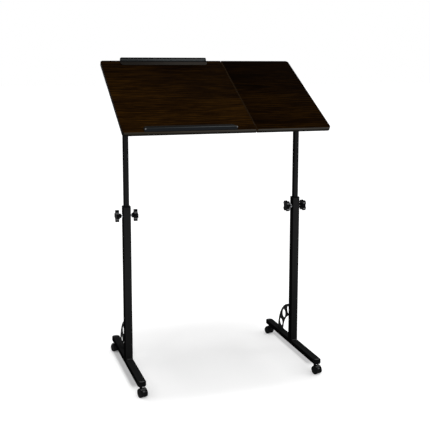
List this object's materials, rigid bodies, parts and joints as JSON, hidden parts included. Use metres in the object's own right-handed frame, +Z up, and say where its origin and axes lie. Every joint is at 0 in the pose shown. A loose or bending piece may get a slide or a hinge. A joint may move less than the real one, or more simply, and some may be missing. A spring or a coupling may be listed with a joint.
{
  "type": "laptop desk",
  "caption": "Height-adjustable laptop desk with a split tilting wooden top, ledges, telescopic legs and castors.",
  "frame": {"origin": "on the floor, midway between the legs and midway along the feet", "axes": "+Z up, +X to the user's right, +Y to the back, with the low edge of the tilted top at the front"},
  "size_m": [0.8, 0.5262, 1.2244],
  "materials": {
    "wood_board": "dark wenge laminate",
    "painted_steel": "satin black powder coat",
    "black_plastic": "moulded, fine grain",
    "ledge_plastic": "moulded, semi-matte",
    "zinc_steel": "zinc plated",
    "castor_wheel": "moulded nylon"
  },
  "bodies": {
    "left_leg": {"left_foot_bar": "painted_steel", "left_front_foot_cap": "black_plastic", "left_rear_foot_cap": "black_plastic", "left_gusset": "painted_steel", "left_column": "painted_steel", "left_column_collar": "black_plastic", "left_front_castor_stem": "zinc_steel", "left_rear_castor_stem": "zinc_steel"},
    "right_leg": {"right_foot_bar": "painted_steel", "right_front_foot_cap": "black_plastic", "right_rear_foot_cap": "black_plastic", "right_gusset": "painted_steel", "right_column": "painted_steel", "right_column_collar": "black_plastic", "right_front_castor_stem": "zinc_steel", "right_rear_castor_stem": "zinc_steel"},
    "upper_frame": {"crossbar": "painted_steel", "crossbar_left_end_cap": "black_plastic", "crossbar_right_end_cap": "black_plastic", "left_inner_tube": "painted_steel", "right_inner_tube": "painted_steel", "left_guide_plug": "black_plastic", "right_guide_plug": "black_plastic", "large_panel_left_saddle": "painted_steel", "large_panel_right_saddle": "painted_steel", "large_panel_pivot_bolt": "zinc_steel", "small_panel_left_saddle": "painted_steel", "small_panel_right_saddle": "painted_steel", "small_panel_pivot_bolt": "zinc_steel"},
    "large_panel": {"large_panel": "wood_board", "front_ledge": "ledge_plastic", "rear_ledge": "ledge_plastic", "large_panel_left_mount_plate": "painted_steel", "large_panel_right_mount_plate": "painted_steel"},
    "small_panel": {"small_panel": "wood_board", "small_panel_left_mount_plate": "painted_steel", "small_panel_right_mount_plate": "painted_steel"},
    "large_panel_tilt_knob": {"large_panel_tilt_knob": "black_plastic"},
    "small_panel_tilt_knob": {"small_panel_tilt_knob": "black_plastic"},
    "left_clamp_knob_left": {"left_clamp_knob_left": "black_plastic"},
    "left_clamp_knob_right": {"left_clamp_knob_right": "black_plastic"},
    "left_front_castor": {"left_front_castor_hood": "black_plastic", "left_front_castor_axle": "zinc_steel"},
    "left_front_castor_wheel_a": {"left_front_castor_wheel_a": "castor_wheel"},
    "left_front_castor_wheel_b": {"left_front_castor_wheel_b": "castor_wheel"},
    "left_rear_castor": {"left_rear_castor_hood": "black_plastic", "left_rear_castor_axle": "zinc_steel"},
    "left_rear_castor_wheel_a": {"left_rear_castor_wheel_a": "castor_wheel"},
    "left_rear_castor_wheel_b": {"left_rear_castor_wheel_b": "castor_wheel"},
    "right_clamp_knob_left": {"right_clamp_knob_left": "black_plastic"},
    "right_clamp_knob_right": {"right_clamp_knob_right": "black_plastic"},
    "right_front_castor": {"right_front_castor_hood": "black_plastic", "right_front_castor_axle": "zinc_steel"},
    "right_front_castor_wheel_a": {"right_front_castor_wheel_a": "castor_wheel"},
    "right_front_castor_wheel_b": {"right_front_castor_wheel_b": "castor_wheel"},
    "right_rear_castor": {"right_rear_castor_hood": "black_plastic", "right_rear_castor_axle": "zinc_steel"},
    "right_rear_castor_wheel_a": {"right_rear_castor_wheel_a": "castor_wheel"},
    "right_rear_castor_wheel_b": {"right_rear_castor_wheel_b": "castor_wheel"}
  },
  "joints": [
    {"name": "height_slide_left", "type": "slide", "parent": "left_leg", "child": "upper_frame", "axis": [0, 0, 1], "range_m": [-0.34, 0]},
    {"name": "height_slide_right", "type": "slide", "parent": "upper_frame", "child": "right_leg", "axis": [0, 0, 1], "range_m": [0, 0.34]},
    {"name": "large_panel_tilt", "type": "hinge", "parent": "upper_frame", "child": "large_panel", "pos_m": [0, -0.012, 1.0459], "axis": [1, 0, 0], "range_deg": [-74.6, 15.4]},
    {"name": "small_panel_tilt", "type": "hinge", "parent": "upper_frame", "child": "small_panel", "pos_m": [0, -0.012, 1.0459], "axis": [1, 0, 0], "range_deg": [-74.6, 15.4]},
    {"name": "large_panel_tilt_knob_turn", "type": "hinge", "parent": "upper_frame", "child": "large_panel_tilt_knob", "pos_m": [-0.2805, -0.012, 1.0459], "axis": [1, 0, 0], "range_deg": [0, 720]},
    {"name": "small_panel_tilt_knob_turn", "type": "hinge", "parent": "upper_frame", "child": "small_panel_tilt_knob", "pos_m": [0.3255, -0.012, 1.0459], "axis": [1, 0, 0], "range_deg": [0, 720]},
    {"name": "left_clamp_knob_left_turn", "type": "hinge", "parent": "left_leg", "child": "left_clamp_knob_left", "pos_m": [-0.348, -0.012, 0.6293], "axis": [-1, 0, 0], "range_deg": [0, 720]},
    {"name": "left_clamp_knob_right_turn", "type": "hinge", "parent": "left_leg", "child": "left_clamp_knob_right", "pos_m": [-0.348, -0.012, 0.6293], "axis": [1, 0, 0], "range_deg": [0, 720]},
    {"name": "left_front_castor_swivel", "type": "hinge", "parent": "left_leg", "child": "left_front_castor", "pos_m": [-0.348, -0.2345, 0.034], "axis": [0, 0, 1], "continuous": true},
    {"name": "left_front_castor_wheel_a_spin", "type": "hinge", "parent": "left_front_castor", "child": "left_front_castor_wheel_a", "pos_m": [-0.3446, -0.24496, 0.0155], "axis": [0.9511, 0.309, 0], "continuous": true},
    {"name": "left_front_castor_wheel_b_spin", "type": "hinge", "parent": "left_front_castor", "child": "left_front_castor_wheel_b", "pos_m": [-0.3446, -0.24496, 0.0155], "axis": [0.9511, 0.309, 0], "continuous": true},
    {"name": "left_rear_castor_swivel", "type": "hinge", "parent": "left_leg", "child": "left_rear_castor", "pos_m": [-0.348, 0.2345, 0.034], "axis": [0, 0, 1], "continuous": true},
    {"name": "left_rear_castor_wheel_a_spin", "type": "hinge", "parent": "left_rear_castor", "child": "left_rear_castor_wheel_a", "pos_m": [-0.3514, 0.24496, 0.0155], "axis": [-0.9511, -0.309, 0], "continuous": true},
    {"name": "left_rear_castor_wheel_b_spin", "type": "hinge", "parent": "left_rear_castor", "child": "left_rear_castor_wheel_b", "pos_m": [-0.3514, 0.24496, 0.0155], "axis": [-0.9511, -0.309, 0], "continuous": true},
    {"name": "right_clamp_knob_left_turn", "type": "hinge", "parent": "right_leg", "child": "right_clamp_knob_left", "pos_m": [0.348, -0.012, 0.6293], "axis": [-1, 0, 0], "range_deg": [0, 720]},
    {"name": "right_clamp_knob_right_turn", "type": "hinge", "parent": "right_leg", "child": "right_clamp_knob_right", "pos_m": [0.348, -0.012, 0.6293], "axis": [1, 0, 0], "range_deg": [0, 720]},
    {"name": "right_front_castor_swivel", "type": "hinge", "parent": "right_leg", "child": "right_front_castor", "pos_m": [0.348, -0.2345, 0.034], "axis": [0, 0, 1], "continuous": true},
    {"name": "right_front_castor_wheel_a_spin", "type": "hinge", "parent": "right_front_castor", "child": "right_front_castor_wheel_a", "pos_m": [0.3514, -0.24496, 0.0155], "axis": [0.9511, 0.309, 0], "continuous": true},
    {"name": "right_front_castor_wheel_b_spin", "type": "hinge", "parent": "right_front_castor", "child": "right_front_castor_wheel_b", "pos_m": [0.3514, -0.24496, 0.0155], "axis": [0.9511, 0.309, 0], "continuous": true},
    {"name": "right_rear_castor_swivel", "type": "hinge", "parent": "right_leg", "child": "right_rear_castor", "pos_m": [0.348, 0.2345, 0.034], "axis": [0, 0, 1], "continuous": true},
    {"name": "right_rear_castor_wheel_a_spin", "type": "hinge", "parent": "right_rear_castor", "child": "right_rear_castor_wheel_a", "pos_m": [0.3446, 0.24496, 0.0155], "axis": [-0.9511, -0.309, 0], "continuous": true},
    {"name": "right_rear_castor_wheel_b_spin", "type": "hinge", "parent": "right_rear_castor", "child": "right_rear_castor_wheel_b", "pos_m": [0.3446, 0.24496, 0.0155], "axis": [-0.9511, -0.309, 0], "continuous": true}
  ],
  "couplings": [
    {"joint": "height_slide_right", "follows": "height_slide_left", "ratio": -1}
  ]
}
